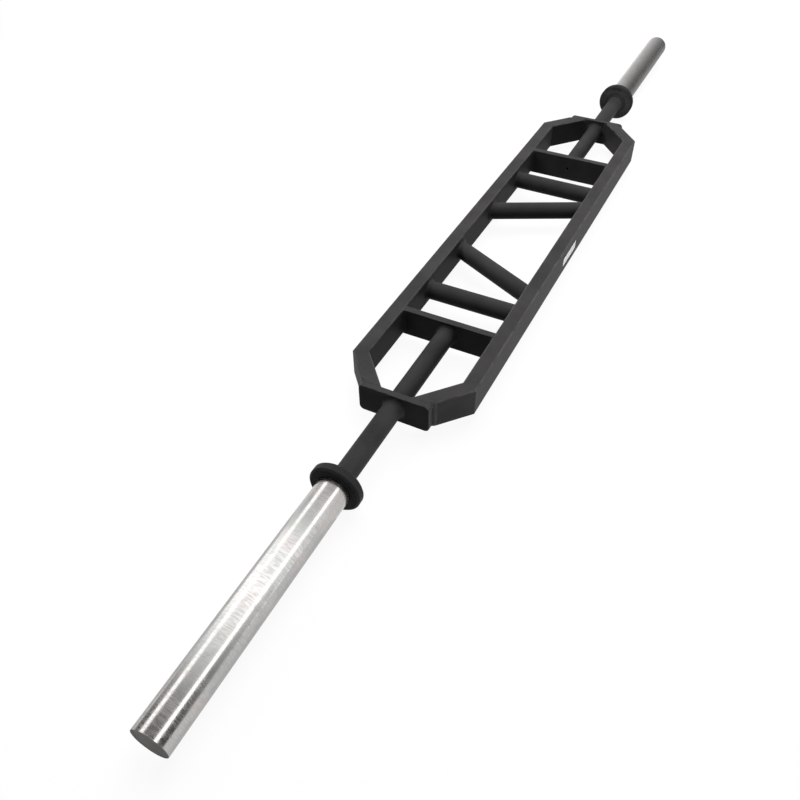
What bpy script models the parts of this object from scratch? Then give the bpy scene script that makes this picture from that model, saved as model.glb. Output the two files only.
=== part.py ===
"""A multi-grip strength-training bar with two rotating sleeves, in metres.

X runs along the bar and Z is up. The origin is the middle of the bar on its axis. The frame of
rectangular tube holds four handles between a front rail (-Y) and a back rail (+Y). At each end a
shaft runs from a cross plate out through the end plate and the collar, and a sleeve turns on it.
"""

import math

import bmesh
import bpy
from mathutils import Matrix, Vector

# Whole bar
OVERALL_LENGTH = 2.100
SEAT_GAP = 0.0003
RUNNING_GAP = 0.0003

# Frame of rectangular tube
FRAME_LENGTH = 1.000
FRAME_WIDTH = 0.208
TUBE_HEIGHT = 0.050
TUBE_WIDTH = 0.025
TUBE_WALL = 0.0025
TUBE_CORNER_RADIUS = 0.003
CORNER_TUBE_ANGLE = math.radians(41.0)

# Plates
END_PLATE_THICKNESS = 0.010
END_PLATE_LIP = 0.0015
END_PLATE_SHOULDER = 0.0570
END_PLATE_CORNER_RADIUS = 0.008
CROSS_PLATE_THICKNESS = 0.012
CROSS_PLATE_SETBACK = 0.188
CENTRE_HOLE_DIAMETER = 0.006
PLATE_CHAMFER = 0.0008

# Handles
HANDLE_DIAMETER = 0.032
HANDLE_WALL = 0.003
STRAIGHT_HANDLE_X = 0.212
ANGLED_HANDLE_X = 0.114
ANGLED_HANDLE_TILT = math.radians(26.5)

# Shafts and collars
SHAFT_DIAMETER = 0.032
SHAFT_CHAMFER = 0.001
COLLAR_INNER_FACE_X = 0.658
COLLAR_DIAMETER = 0.0786
COLLAR_THICKNESS = 0.016
COLLAR_CHAMFER = 0.003
COLLAR_RECESS_DEPTH = 0.002
COLLAR_RECESS_CLEARANCE = 0.0006

# Sleeves and what is inside them
SLEEVE_DIAMETER = 0.050
SLEEVE_BORE = 0.040
SLEEVE_CHAMFER = 0.001
SLEEVE_END_PLAY = 0.0005
BUSH_LENGTH = 0.040
BUSH_CHAMFER = 0.0006
THRUST_WASHER_DIAMETER = 0.044
THRUST_WASHER_THICKNESS = 0.0015
RETAINING_WASHER_DIAMETER = 0.038
RETAINING_WASHER_THICKNESS = 0.002
RING_GROOVE_DEPTH = 0.0012
RING_WIDTH = 0.0030
RING_THICKNESS = 0.0015
RING_OPENING = math.radians(50.0)
RING_HOLE_DIAMETER = 0.0014
SHAFT_LAND = 0.005
SHAFT_TO_CAP = 0.005
END_CAP_FLANGE = 0.003
END_CAP_SPIGOT = 0.008

# Blank label on the front rail
LABEL_LENGTH = 0.070
LABEL_HEIGHT = 0.016
LABEL_THICKNESS = 0.0003

# Facets
VISIBLE_SEGMENTS = 48
HIDDEN_SEGMENTS = 32
CORNER_STEPS = 3

# Places worked out from the sizes above
RAIL_Y = (FRAME_WIDTH - TUBE_WIDTH) / 2
INNER_HALF_WIDTH = FRAME_WIDTH / 2 - TUBE_WIDTH
END_PLATE_INNER_X = FRAME_LENGTH / 2 - END_PLATE_THICKNESS
MITRE_X = END_PLATE_INNER_X - (FRAME_WIDTH / 2 - END_PLATE_SHOULDER) / math.tan(CORNER_TUBE_ANGLE)
MITRE_SLOPE = math.tan(CORNER_TUBE_ANGLE / 2)
SHAFT_RADIUS = SHAFT_DIAMETER / 2
SHAFT_HOLE_RADIUS = SHAFT_RADIUS + RUNNING_GAP
CROSS_PLATE_FACE_X = FRAME_LENGTH / 2 - CROSS_PLATE_SETBACK
SHAFT_START_X = CROSS_PLATE_FACE_X + SEAT_GAP
COLLAR_OUTER_FACE_X = COLLAR_INNER_FACE_X + COLLAR_THICKNESS
COLLAR_RECESS_X = COLLAR_OUTER_FACE_X - COLLAR_RECESS_DEPTH
THRUST_WASHER_X = COLLAR_RECESS_X + SEAT_GAP
SLEEVE_START_X = COLLAR_RECESS_X + SLEEVE_END_PLAY
COUNTERBORE_FLOOR_X = THRUST_WASHER_X + THRUST_WASHER_THICKNESS + RUNNING_GAP
SLEEVE_END_X = OVERALL_LENGTH / 2 - END_CAP_FLANGE - SEAT_GAP
SPIGOT_END_X = SLEEVE_END_X - END_CAP_SPIGOT
SHAFT_END_X = SPIGOT_END_X - SHAFT_TO_CAP
GROOVE_OUTER_X = SHAFT_END_X - SHAFT_LAND
GROOVE_INNER_X = GROOVE_OUTER_X - RING_THICKNESS - 2 * SEAT_GAP
RING_X = GROOVE_INNER_X + SEAT_GAP
RETAINING_WASHER_X = RING_X - SEAT_GAP - RETAINING_WASHER_THICKNESS
OUTER_BUSH_X = RETAINING_WASHER_X - RUNNING_GAP - BUSH_LENGTH
INNER_BUSH_X = COUNTERBORE_FLOOR_X

SIDES = {"left": -1, "right": 1}
ROWS = {"front": -1, "back": 1}


def clear_scene():
    """Removes whatever the file opened with."""
    for existing in list(bpy.data.objects):
        bpy.data.objects.remove(existing)


def make_material(name, color, roughness, metallic):
    """A Principled material of one plain colour."""
    material = bpy.data.materials.new(name)
    material.use_nodes = True
    shader = material.node_tree.nodes["Principled BSDF"]
    shader.inputs["Base Color"].default_value = (*color, 1.0)
    shader.inputs["Roughness"].default_value = roughness
    shader.inputs["Metallic"].default_value = metallic
    material.diffuse_color = (*color, 1.0)
    return material


def add_object(name, form, material, parent):
    """Turns a bmesh into a named object with one material."""
    bmesh.ops.recalc_face_normals(form, faces=form.faces)
    mesh = bpy.data.meshes.new(name)
    form.to_mesh(mesh)
    form.free()
    mesh.shade_smooth()
    mesh.set_sharp_from_angle(angle=math.radians(30))
    mesh.materials.append(material)
    made = bpy.data.objects.new(name, mesh)
    made.parent = parent
    bpy.context.scene.collection.objects.link(made)
    return made


def add_empty(name, location, turn, parent=None):
    """A frame of reference at a place, turned about Z."""
    empty = bpy.data.objects.new(name, None)
    empty.location = location
    empty.rotation_euler = (0.0, 0.0, turn)
    empty.empty_display_size = 0.05
    empty.parent = parent
    bpy.context.scene.collection.objects.link(empty)
    return empty


def rounded_rectangle(width, height, radius):
    """The points of a rectangle with round corners, anticlockwise, as (across, up)."""
    points = []
    for quarter, (side, end) in enumerate(((1, 1), (-1, 1), (-1, -1), (1, -1))):
        centre = Vector((side * (width / 2 - radius), end * (height / 2 - radius)))
        for step in range(CORNER_STEPS + 1):
            angle = math.pi / 2 * (quarter + step / CORNER_STEPS)
            points.append(centre + radius * Vector((math.cos(angle), math.sin(angle))))
    return points


def bridge(form, rings):
    """Joins closed rings of points, in turn and the last to the first, into one closed skin."""
    loops = [[form.verts.new(point) for point in ring] for ring in rings]
    for ring, following in zip(loops, loops[1:] + loops[:1]):
        count = len(ring)
        for index in range(count):
            after = (index + 1) % count
            form.faces.new((ring[index], ring[after], following[after], following[index]))


def add_box_tube(name, start, end, start_slope, end_slope, material, parent):
    """A rectangular tube along X, whose two end cuts each slope with the distance across it."""
    outer = rounded_rectangle(TUBE_WIDTH, TUBE_HEIGHT, TUBE_CORNER_RADIUS)
    inner = rounded_rectangle(
        TUBE_WIDTH - 2 * TUBE_WALL,
        TUBE_HEIGHT - 2 * TUBE_WALL,
        max(TUBE_CORNER_RADIUS - TUBE_WALL, TUBE_WALL / 4),
    )

    def ring(section, place, slope):
        return [(place + slope * across, across, up) for across, up in section]

    form = bmesh.new()
    bridge(
        form,
        [
            ring(outer, start, start_slope),
            ring(outer, end, end_slope),
            ring(inner, end, end_slope),
            ring(inner, start, start_slope),
        ],
    )
    return add_object(name, form, material, parent)


def add_rail(row, material, parent):
    """One long rail, mitred at both ends for the corner tubes."""
    side = ROWS[row]
    middle = MITRE_X - TUBE_WIDTH / 2 * MITRE_SLOPE
    slope = side * MITRE_SLOPE
    rail = add_box_tube(row + "_rail", -middle, middle, -slope, slope, material, parent)
    rail.location = (0.0, side * RAIL_Y, 0.0)
    return rail


def add_corner_tube(row, end, material, parent):
    """One slanting tube from a rail's mitre to the end plate."""
    side = ROWS[row]
    way = SIDES[end]
    outer = side * way
    start = TUBE_WIDTH / 2 * MITRE_SLOPE + SEAT_GAP / math.cos(CORNER_TUBE_ANGLE / 2)
    reach = (END_PLATE_INNER_X - SEAT_GAP - MITRE_X) / math.cos(CORNER_TUBE_ANGLE)
    stop = reach + TUBE_WIDTH / 2 * math.tan(CORNER_TUBE_ANGLE)
    name = f"{row}_{end}_corner_tube"
    tube = add_box_tube(
        name,
        start,
        stop,
        -outer * MITRE_SLOPE,
        -outer * math.tan(CORNER_TUBE_ANGLE),
        material,
        parent,
    )
    outward = Vector((way * math.sin(CORNER_TUBE_ANGLE), side * math.cos(CORNER_TUBE_ANGLE), 0.0))
    mitre = Vector((way * MITRE_X, side * FRAME_WIDTH / 2, 0.0))
    tube.location = mitre - outward * TUBE_WIDTH / 2
    tube.rotation_euler.z = -outer * CORNER_TUBE_ANGLE + (math.pi if way < 0 else 0.0)
    return tube


def add_handle(name, place, tilt, material, parent):
    """A round tube between the rails, turned about Z by its tilt, with its ends cut along the rails."""
    half_span = INNER_HALF_WIDTH - SEAT_GAP

    def ring(radius, side):
        points = []
        for index in range(VISIBLE_SEGMENTS):
            angle = 2 * math.pi * index / VISIBLE_SEGMENTS
            across = radius * math.cos(angle)
            along = (side * half_span - across * math.sin(tilt)) / math.cos(tilt)
            points.append((across, along, radius * math.sin(angle)))
        return points

    outer = HANDLE_DIAMETER / 2
    inner = outer - HANDLE_WALL
    form = bmesh.new()
    bridge(form, [ring(outer, -1), ring(outer, 1), ring(inner, 1), ring(inner, -1)])
    handle = add_object(name, form, material, parent)
    handle.location = (place, 0.0, 0.0)
    handle.rotation_euler.z = tilt
    return handle


def add_plate(name, thickness, outline, material, parent):
    """A flat plate across X with chamfered edges, its face nearer the middle at its own origin."""
    form = bmesh.new()
    face = form.faces.new([form.verts.new((0.0, across, up)) for across, up in outline])
    grown = bmesh.ops.extrude_face_region(form, geom=[face])
    moved = [item for item in grown["geom"] if isinstance(item, bmesh.types.BMVert)]
    bmesh.ops.translate(form, verts=moved, vec=(thickness, 0.0, 0.0))
    plate = add_object(name, form, material, parent)
    chamfer = plate.modifiers.new("edge_chamfer", "BEVEL")
    chamfer.width = PLATE_CHAMFER
    chamfer.segments = 1
    chamfer.limit_method = "ANGLE"
    chamfer.angle_limit = math.radians(60)
    return plate


def drill(target, label, location, diameter, depth):
    """Cuts a round hole along X through a piece, centred at a place in the piece's own frame."""
    form = bmesh.new()
    bmesh.ops.create_cone(
        form,
        cap_ends=True,
        segments=VISIBLE_SEGMENTS,
        radius1=diameter / 2,
        radius2=diameter / 2,
        depth=depth,
        matrix=Matrix.Rotation(math.pi / 2, 4, "Y"),
    )
    cutter = add_object(f"{target.name}_{label}", form, target.data.materials[0], target)
    cutter.location = location
    cutter.hide_render = True
    cutter.display_type = "WIRE"
    hole = target.modifiers.new(label, "BOOLEAN")
    hole.operation = "DIFFERENCE"
    hole.solver = "EXACT"
    hole.object = cutter


def add_end_plate(end, material, parent):
    """The plate that closes the frame's end, with the hole that the shaft passes through."""
    width = 2 * (END_PLATE_SHOULDER + END_PLATE_LIP)
    outline = rounded_rectangle(width, TUBE_HEIGHT, END_PLATE_CORNER_RADIUS)
    plate = add_plate(f"{end}_end_plate", END_PLATE_THICKNESS, outline, material, parent)
    plate.location = (END_PLATE_INNER_X, 0.0, 0.0)
    middle = (END_PLATE_THICKNESS / 2, 0.0, 0.0)
    drill(plate, "shaft_hole", middle, 2 * SHAFT_HOLE_RADIUS, 2 * END_PLATE_THICKNESS)
    return plate


def add_cross_plate(end, material, parent):
    """The plate between the rails that the shaft's inner end meets, with its small centre hole."""
    half = INNER_HALF_WIDTH - SEAT_GAP
    top = TUBE_HEIGHT / 2
    outline = ((half, top), (-half, top), (-half, -top), (half, -top))
    plate = add_plate(f"{end}_cross_plate", CROSS_PLATE_THICKNESS, outline, material, parent)
    plate.location = (CROSS_PLATE_FACE_X - CROSS_PLATE_THICKNESS, 0.0, 0.0)
    middle = (CROSS_PLATE_THICKNESS / 2, 0.0, 0.0)
    drill(plate, "centre_hole", middle, CENTRE_HOLE_DIAMETER, 2 * CROSS_PLATE_THICKNESS)
    return plate


def add_turned(name, profile, segments, origin_x, material, parent):
    """Spins a profile of (x, radius) about X; it closes on the axis or on itself."""
    form = bmesh.new()
    verts = [form.verts.new((x - origin_x, 0.0, radius)) for x, radius in profile]
    edges = [form.edges.new(pair) for pair in zip(verts, verts[1:])]
    if profile[0][1] > 0.0:
        edges.append(form.edges.new((verts[-1], verts[0])))
    bmesh.ops.spin(
        form,
        geom=verts + edges,
        axis=(1.0, 0.0, 0.0),
        cent=(0.0, 0.0, 0.0),
        angle=2 * math.pi,
        steps=segments,
        use_merge=True,
    )
    bmesh.ops.remove_doubles(form, verts=form.verts, dist=1e-6)
    made = add_object(name, form, material, parent)
    made.location = (origin_x, 0.0, 0.0)
    return made


def ring_profile(start, length, inner, outer, chamfer):
    """A rectangle in (x, radius) whose two outer corners are chamfered."""
    end = start + length
    return [
        (start, inner),
        (start, outer - chamfer),
        (start + chamfer, outer),
        (end - chamfer, outer),
        (end, outer - chamfer),
        (end, inner),
    ]


def add_shaft(end, material, parent):
    """The round bar from the cross plate to inside the sleeve, grooved for its retaining ring."""
    groove = SHAFT_RADIUS - RING_GROOVE_DEPTH
    profile = [
        (SHAFT_START_X, 0.0),
        (SHAFT_START_X, SHAFT_RADIUS - SHAFT_CHAMFER),
        (SHAFT_START_X + SHAFT_CHAMFER, SHAFT_RADIUS),
        (GROOVE_INNER_X, SHAFT_RADIUS),
        (GROOVE_INNER_X, groove),
        (GROOVE_OUTER_X, groove),
        (GROOVE_OUTER_X, SHAFT_RADIUS),
        (SHAFT_END_X - SHAFT_CHAMFER, SHAFT_RADIUS),
        (SHAFT_END_X, SHAFT_RADIUS - SHAFT_CHAMFER),
        (SHAFT_END_X, 0.0),
    ]
    return add_turned(f"{end}_shaft", profile, VISIBLE_SEGMENTS, SHAFT_START_X, material, parent)


def add_collar(end, material, parent):
    """The thick ring that the weight plates rest against, with a recess that the sleeve turns in."""
    recess = SLEEVE_DIAMETER / 2 + COLLAR_RECESS_CLEARANCE
    profile = ring_profile(
        COLLAR_INNER_FACE_X,
        COLLAR_THICKNESS,
        SHAFT_HOLE_RADIUS,
        COLLAR_DIAMETER / 2,
        COLLAR_CHAMFER,
    )
    profile[-1] = (COLLAR_OUTER_FACE_X, recess)
    profile += [(COLLAR_RECESS_X, recess), (COLLAR_RECESS_X, SHAFT_HOLE_RADIUS)]
    name = f"{end}_collar"
    return add_turned(name, profile, VISIBLE_SEGMENTS, COLLAR_INNER_FACE_X, material, parent)


def add_washer(name, place, thickness, diameter, material, parent):
    """A plain flat washer on the shaft."""
    inner = SHAFT_HOLE_RADIUS
    outer = diameter / 2
    end = place + thickness
    profile = [(place, inner), (place, outer), (end, outer), (end, inner)]
    return add_turned(name, profile, HIDDEN_SEGMENTS, place, material, parent)


def add_bush(name, place, material, parent):
    """A plain bearing bush, pressed in the sleeve's bore and running on the shaft."""
    outer = SLEEVE_BORE / 2 - SEAT_GAP
    profile = ring_profile(place, BUSH_LENGTH, SHAFT_HOLE_RADIUS, outer, BUSH_CHAMFER)
    return add_turned(name, profile, HIDDEN_SEGMENTS, place, material, parent)


def add_sleeve(end, material, parent):
    """The tube that the weight plates slide on, counterbored at the collar for the thrust washer."""
    outer = SLEEVE_DIAMETER / 2
    bore = SLEEVE_BORE / 2
    counterbore = THRUST_WASHER_DIAMETER / 2 + RUNNING_GAP
    profile = [
        (SLEEVE_START_X, counterbore),
        (SLEEVE_START_X, outer - SLEEVE_CHAMFER),
        (SLEEVE_START_X + SLEEVE_CHAMFER, outer),
        (SLEEVE_END_X, outer),
        (SLEEVE_END_X, bore),
        (COUNTERBORE_FLOOR_X, bore),
        (COUNTERBORE_FLOOR_X, counterbore),
    ]
    return add_turned(f"{end}_sleeve", profile, VISIBLE_SEGMENTS, SLEEVE_START_X, material, parent)


def add_end_cap(end, material, parent):
    """The cap that closes the sleeve: a flange as wide as the sleeve and a spigot in its bore."""
    spigot = SLEEVE_BORE / 2 - SEAT_GAP
    outer = SLEEVE_DIAMETER / 2
    face = OVERALL_LENGTH / 2
    profile = [
        (SPIGOT_END_X, 0.0),
        (SPIGOT_END_X, spigot),
        (face - END_CAP_FLANGE, spigot),
        (face - END_CAP_FLANGE, outer),
        (face - SLEEVE_CHAMFER, outer),
        (face, outer - SLEEVE_CHAMFER),
        (face, 0.0),
    ]
    name = f"{end}_end_cap"
    return add_turned(name, profile, VISIBLE_SEGMENTS, SPIGOT_END_X, material, parent)


def add_retaining_ring(end, material, parent):
    """The open spring ring in the shaft's groove, with a plier hole near each of its two ends."""
    inner = SHAFT_RADIUS - RING_GROOVE_DEPTH + SEAT_GAP
    outer = inner + RING_WIDTH
    sweep = 2 * math.pi - RING_OPENING
    angles = [RING_OPENING / 2 + sweep * step / HIDDEN_SEGMENTS for step in range(HIDDEN_SEGMENTS + 1)]

    def arc(radius, place):
        return [(place, radius * math.sin(angle), radius * math.cos(angle)) for angle in angles]

    form = bmesh.new()
    corners = [arc(inner, 0.0), arc(outer, 0.0), arc(outer, RING_THICKNESS), arc(inner, RING_THICKNESS)]
    loops = [[form.verts.new(point) for point in line] for line in corners]
    for line, following in zip(loops, loops[1:] + loops[:1]):
        for index in range(len(line) - 1):
            form.faces.new((line[index], line[index + 1], following[index + 1], following[index]))
    for index in (0, -1):
        form.faces.new([line[index] for line in loops])
    ring = add_object(f"{end}_retaining_ring", form, material, parent)
    ring.location = (RING_X, 0.0, 0.0)
    middle = (inner + outer) / 2
    lead = RING_HOLE_DIAMETER * 1.5 / middle
    for label, angle in (("first_hole", angles[0] + lead), ("second_hole", angles[-1] - lead)):
        place = (RING_THICKNESS / 2, middle * math.sin(angle), middle * math.cos(angle))
        drill(ring, label, place, RING_HOLE_DIAMETER, 2 * RING_THICKNESS)
    return ring


def add_label(material, parent):
    """The blank sticker on the front rail's outer face."""
    form = bmesh.new()
    size = Matrix.Diagonal((LABEL_LENGTH, LABEL_THICKNESS, LABEL_HEIGHT, 1.0))
    bmesh.ops.create_cube(form, size=1.0, matrix=size)
    label = add_object("blank_label", form, material, parent)
    label.location = (0.0, -FRAME_WIDTH / 2 - SEAT_GAP - LABEL_THICKNESS / 2, 0.0)
    return label


def build_frame():
    """Rails, corner tubes, handles and label."""
    paint = make_material("frame_paint", (0.035, 0.034, 0.033), 0.45, 0.0)
    grip = make_material("handle_paint", (0.033, 0.032, 0.031), 0.45, 0.0)
    sticker = make_material("label_white", (0.80, 0.80, 0.78), 0.5, 0.0)
    frame = add_empty("frame_origin", (0.0, 0.0, 0.0), 0.0)
    for row in ROWS:
        add_rail(row, paint, frame)
        for end in SIDES:
            add_corner_tube(row, end, paint, frame)
    for end, way in SIDES.items():
        add_handle(f"{end}_straight_handle", way * STRAIGHT_HANDLE_X, 0.0, grip, frame)
        tilt = way * ANGLED_HANDLE_TILT
        add_handle(f"{end}_angled_handle", way * ANGLED_HANDLE_X, tilt, grip, frame)
    add_label(sticker, frame)


def build_end(end, way):
    """One end of the bar: plates, shaft and collar fixed, and the sleeve on its turning axis."""
    paint = bpy.data.materials["frame_paint"]
    shaft_paint = make_material(f"{end}_shaft_paint", (0.033, 0.033, 0.033), 0.45, 0.0)
    collar_paint = make_material(f"{end}_collar_paint", (0.028, 0.027, 0.027), 0.5, 0.0)
    steel = make_material(f"{end}_sleeve_steel", (0.62, 0.60, 0.58), 0.28, 1.0)
    cap_steel = make_material(f"{end}_cap_steel", (0.20, 0.19, 0.18), 0.45, 1.0)
    bronze = make_material(f"{end}_bush_bronze", (0.55, 0.38, 0.18), 0.4, 1.0)
    washer_steel = make_material(f"{end}_washer_steel", (0.50, 0.50, 0.50), 0.35, 1.0)
    spring_steel = make_material(f"{end}_spring_steel", (0.10, 0.10, 0.11), 0.4, 1.0)

    fixed = add_empty(f"{end}_end_origin", (0.0, 0.0, 0.0), math.pi if way < 0 else 0.0)
    add_cross_plate(end, paint, fixed)
    add_end_plate(end, paint, fixed)
    add_shaft(end, shaft_paint, fixed)
    add_collar(end, collar_paint, fixed)
    add_washer(
        f"{end}_thrust_washer",
        THRUST_WASHER_X,
        THRUST_WASHER_THICKNESS,
        THRUST_WASHER_DIAMETER,
        washer_steel,
        fixed,
    )
    add_washer(
        f"{end}_retaining_washer",
        RETAINING_WASHER_X,
        RETAINING_WASHER_THICKNESS,
        RETAINING_WASHER_DIAMETER,
        washer_steel,
        fixed,
    )
    add_retaining_ring(end, spring_steel, fixed)

    turning = add_empty(f"{end}_sleeve_axis", (0.0, 0.0, 0.0), 0.0, fixed)
    add_sleeve(end, steel, turning)
    add_bush(f"{end}_inner_bush", INNER_BUSH_X, bronze, turning)
    add_bush(f"{end}_outer_bush", OUTER_BUSH_X, bronze, turning)
    add_end_cap(end, cap_steel, turning)


def main():
    """Builds the whole bar."""
    clear_scene()
    build_frame()
    for end, way in SIDES.items():
        build_end(end, way)


main()
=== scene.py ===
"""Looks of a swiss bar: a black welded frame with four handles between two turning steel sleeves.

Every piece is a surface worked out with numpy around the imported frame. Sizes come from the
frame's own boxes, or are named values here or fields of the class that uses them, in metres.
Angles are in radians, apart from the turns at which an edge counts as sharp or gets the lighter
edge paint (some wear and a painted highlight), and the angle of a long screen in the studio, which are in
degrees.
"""

import logging
import math
from dataclasses import dataclass, field
from enum import Enum

import bpy
import numpy as np
from mathutils import Matrix, Vector


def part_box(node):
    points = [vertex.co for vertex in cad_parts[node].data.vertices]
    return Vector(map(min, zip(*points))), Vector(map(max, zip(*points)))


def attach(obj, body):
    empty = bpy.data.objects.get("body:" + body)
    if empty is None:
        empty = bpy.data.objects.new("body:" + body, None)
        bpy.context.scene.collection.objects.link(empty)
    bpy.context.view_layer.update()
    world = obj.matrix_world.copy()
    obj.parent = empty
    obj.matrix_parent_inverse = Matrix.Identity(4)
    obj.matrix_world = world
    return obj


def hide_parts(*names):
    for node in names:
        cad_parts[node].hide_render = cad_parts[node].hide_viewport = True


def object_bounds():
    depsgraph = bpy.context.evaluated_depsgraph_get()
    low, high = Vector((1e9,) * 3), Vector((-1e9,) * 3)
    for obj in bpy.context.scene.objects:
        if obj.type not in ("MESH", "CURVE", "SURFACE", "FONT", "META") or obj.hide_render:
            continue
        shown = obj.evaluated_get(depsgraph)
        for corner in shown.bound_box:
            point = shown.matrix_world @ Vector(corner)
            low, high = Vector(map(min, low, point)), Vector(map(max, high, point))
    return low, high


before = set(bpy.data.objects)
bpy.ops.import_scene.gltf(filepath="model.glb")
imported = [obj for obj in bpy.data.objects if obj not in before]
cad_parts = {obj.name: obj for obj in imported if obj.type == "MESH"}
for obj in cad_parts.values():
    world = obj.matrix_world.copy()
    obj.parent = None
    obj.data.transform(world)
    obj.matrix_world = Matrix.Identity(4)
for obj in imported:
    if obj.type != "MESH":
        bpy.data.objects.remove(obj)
CAD_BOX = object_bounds()

log = logging.getLogger("swiss_bar")
Array = np.ndarray
Socket = bpy.types.NodeSocket
Piece = bpy.types.Object

TUBE_WIDTH = 0.025
TUBE_CORNER_RADIUS = 0.003
CORNER_TUBE_ANGLE = math.radians(41.0)
HANDLE_RADIUS = 0.016
HANDLE_TILTS = {"straight_handle": 0.0, "angled_handle": math.radians(26.5)}
SHAFT_RADIUS = 0.016
SLEEVE_RADIUS = 0.025

FULL_TURN = 2 * math.pi
SUPPORT_WIDTH = 0.0006
SUPPORT_SHARE = 0.5
FLAT_TURN = 18.0
EDGE_TURN = 28.0
TINY = 1e-12
WHITE = (1.0, 1.0, 1.0, 1.0)
EVEN = (1.0, 1.0, 1.0)


class Half(Enum):
    """One of two halves of the bar, with the sign of its place."""

    def node(self, part: str) -> str:
        """Name of this half's node for a part."""
        return f"{self.name.lower()}_{part}"


class Side(Half):
    """An end of the bar, with the sign of its x."""

    LEFT = -1
    RIGHT = 1


class Edge(Half):
    """A long side of the bar, with the sign of its y."""

    FRONT = -1
    BACK = 1


class Slot(Enum):
    """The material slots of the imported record."""

    FRAME = "frame_paint"
    HANDLE = "handle_paint"
    SHAFT = "shaft_paint"
    COLLAR = "collar_paint"
    SLEEVE = "sleeve_steel"
    CAP = "cap_steel"
    BUSH = "bush_bronze"
    WASHER = "washer_steel"
    SPRING = "spring_steel"
    LABEL = "label_white"


# Shader building


class Number:
    """A number that varies over a surface: each operator adds one Math node to its graph."""

    def __init__(self, graph: "Graph", socket: Socket) -> None:
        """Wraps one output socket."""
        self.graph = graph
        self.socket = socket

    def _math(self, operation: str, first: object, second: object) -> "Number":
        """Adds a Math node.

        Args:
            operation: the node's operation.
            first: its first value, a Number or a float.
            second: its second value, a Number or a float.

        Returns:
            The node's result.
        """
        node = self.graph.node("ShaderNodeMath", {"operation": operation}, {0: first, 1: second})
        return Number(self.graph, node.outputs[0])

    def __add__(self, other: object) -> "Number":
        """This number plus another."""
        return self._math("ADD", self, other)

    def __sub__(self, other: object) -> "Number":
        """This number less another."""
        return self._math("SUBTRACT", self, other)

    def __rsub__(self, other: object) -> "Number":
        """Another number less this one."""
        return self._math("SUBTRACT", other, self)

    def __mul__(self, other: object) -> "Number":
        """This number times another."""
        return self._math("MULTIPLY", self, other)

    def most(self, other: object) -> "Number":
        """The larger of this number and another."""
        return self._math("MAXIMUM", self, other)

    __radd__ = __add__
    __rmul__ = __mul__


@dataclass(frozen=True)
class Speckle:
    """A pattern of smooth noise: lumps to a metre, finer layers and stretch of its coordinates."""

    scale: float
    detail: float = 2.0
    stretch: tuple = EVEN


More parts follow.
